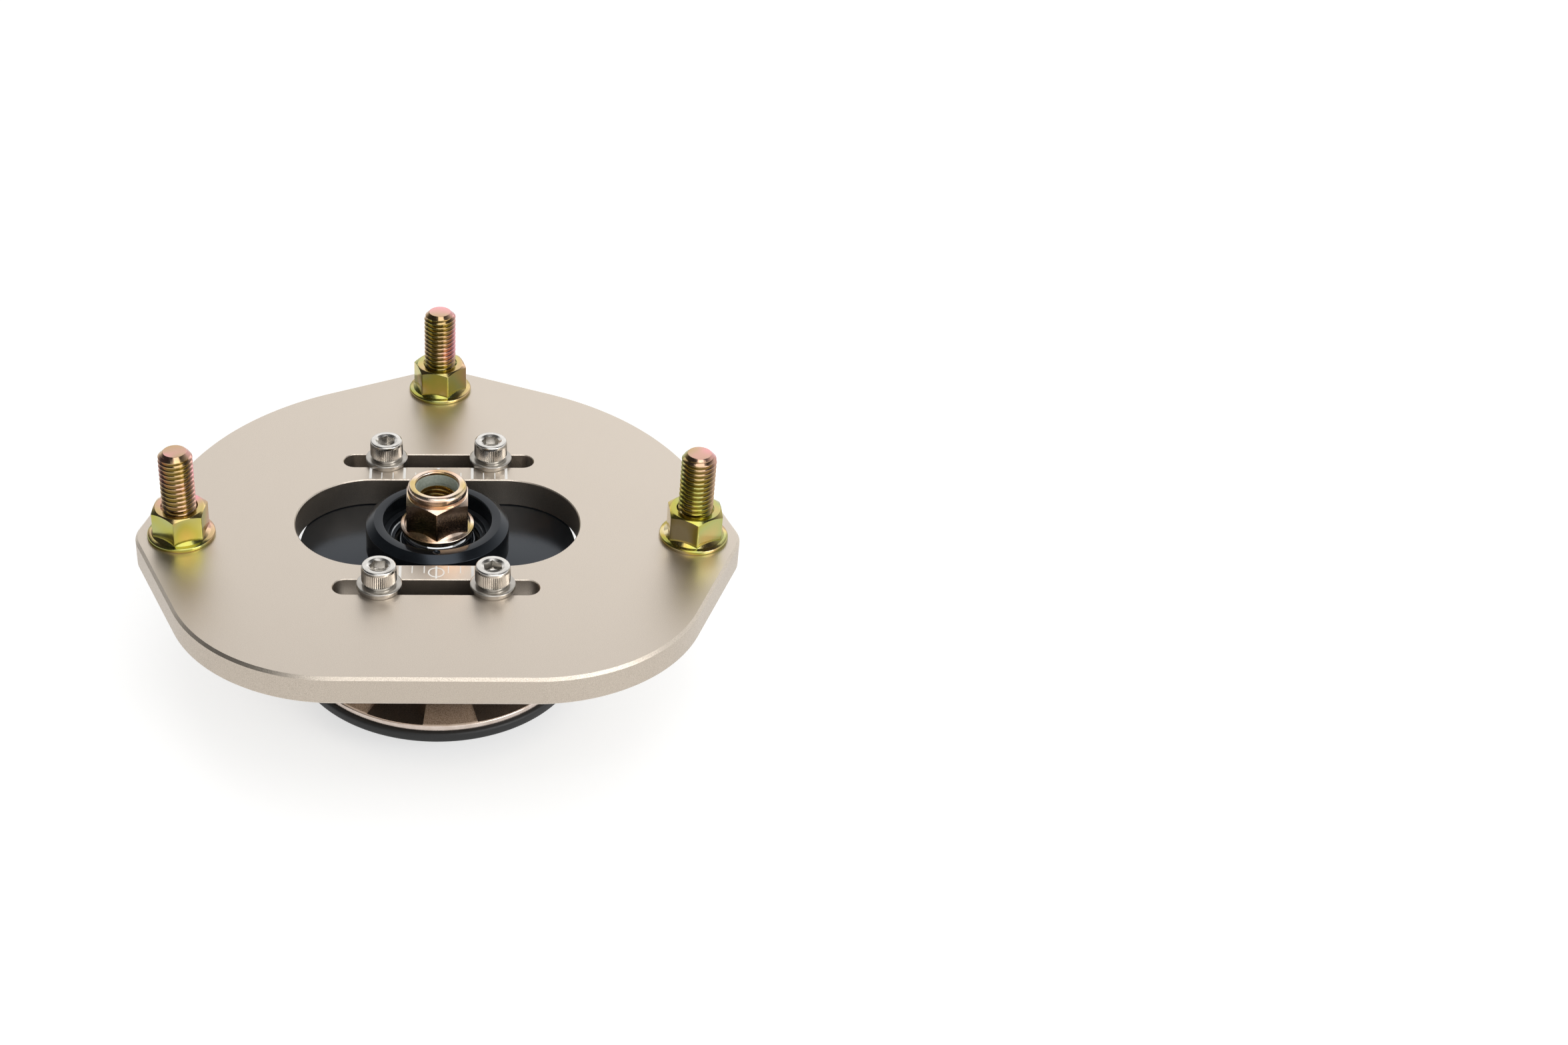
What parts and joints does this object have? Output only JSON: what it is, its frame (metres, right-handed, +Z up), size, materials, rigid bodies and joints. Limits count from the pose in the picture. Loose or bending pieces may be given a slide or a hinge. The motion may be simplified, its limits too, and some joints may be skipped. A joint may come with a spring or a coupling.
{
  "type": "adjustable strut top mount with upper spring seat",
  "caption": "Strut top mount: studded plate with camber slots, a sliding carrier holding a pillow ball, and a spring seat that turns on a bearing.",
  "frame": {"origin": "centre of the pillow ball, on the damper rod's axis, with the carrier in mid travel", "axes": "+X along the camber slots, +Y towards the single stud, +Z up towards the vehicle's strut tower"},
  "size_m": [0.1766, 0.1655, 0.086],
  "materials": {
    "champagne_anodised": "bead-blasted and anodised pale champagne, with cut bright edges",
    "yellow_zinc": "zinc plated with an iridescent yellow-green and pink passivation",
    "black_anodised": "turned and satin black anodised",
    "black_turned": "black, with coarse turning marks left on its rim",
    "stainless": "plain stainless steel",
    "dark_stainless": "stainless steel, dull",
    "spring_steel": "phosphated spring steel",
    "bearing_steel": "ground bearing steel",
    "polished_ball": "hard chromed and lapped",
    "ptfe": "woven PTFE liner",
    "rose_zinc": "zinc plated with a rose-gold passivation",
    "nylon": "grey-green nylon",
    "cage_polyamide": "moulded polyamide",
    "seal_rubber": "moulded nitrile rubber",
    "bronze_blasted": "bead-blasted and anodised dark bronze, with a turned bright lip",
    "isolator_black": "matt black hard plastic"
  },
  "bodies": {
    "plate": {"top_plate": "champagne_anodised", "mounting_studs": "yellow_zinc", "flange_nuts": "yellow_zinc"},
    "carrier": {"bearing_carrier": "black_anodised", "clamp_screws": "stainless", "flat_washers": "stainless", "ball_circlip": "spring_steel", "ball_race": "bearing_steel", "retaining_ring": "black_turned", "ring_screws": "dark_stainless"},
    "upper_liner": {"upper_liner": "ptfe"},
    "lower_liner": {"lower_liner": "ptfe"},
    "rod_stack": {"pillow_ball": "polished_ball", "top_collar": "rose_zinc", "lower_spacer": "rose_zinc", "lock_nut": "rose_zinc", "nylon_insert": "nylon", "bearing_inner_race": "bearing_steel"},
    "cage": {"bearing_balls": "polished_ball", "ball_cage": "cage_polyamide"},
    "seat": {"bearing_outer_race": "bearing_steel", "upper_seal": "seal_rubber", "lower_seal": "seal_rubber", "bearing_circlip": "spring_steel", "spring_seat": "bronze_blasted", "spring_isolator": "isolator_black"}
  },
  "joints": [
    {"name": "camber_slide", "type": "slide", "parent": "plate", "child": "carrier", "axis": [1, 0, 0], "range_m": [-0.0096, 0.0096]},
    {"name": "ball_tilt_x", "type": "hinge", "parent": "carrier", "child": "upper_liner", "pos_m": [0, 0, 0], "axis": [1, 0, 0], "range_deg": [-7, 7]},
    {"name": "ball_tilt_y", "type": "hinge", "parent": "upper_liner", "child": "lower_liner", "pos_m": [0, 0, 0], "axis": [0, 1, 0], "range_deg": [-7, 7]},
    {"name": "ball_spin", "type": "hinge", "parent": "lower_liner", "child": "rod_stack", "pos_m": [0, 0, 0], "axis": [0, 0, 1], "continuous": true},
    {"name": "seat_spin", "type": "hinge", "parent": "rod_stack", "child": "seat", "pos_m": [0, 0, -0.0302], "axis": [0, 0, 1], "continuous": true},
    {"name": "cage_spin", "type": "hinge", "parent": "rod_stack", "child": "cage", "pos_m": [0, 0, -0.0302], "axis": [0, 0, 1], "continuous": true}
  ],
  "couplings": [
    {"joint": "cage_spin", "follows": "seat_spin", "ratio": 0.6094}
  ]
}
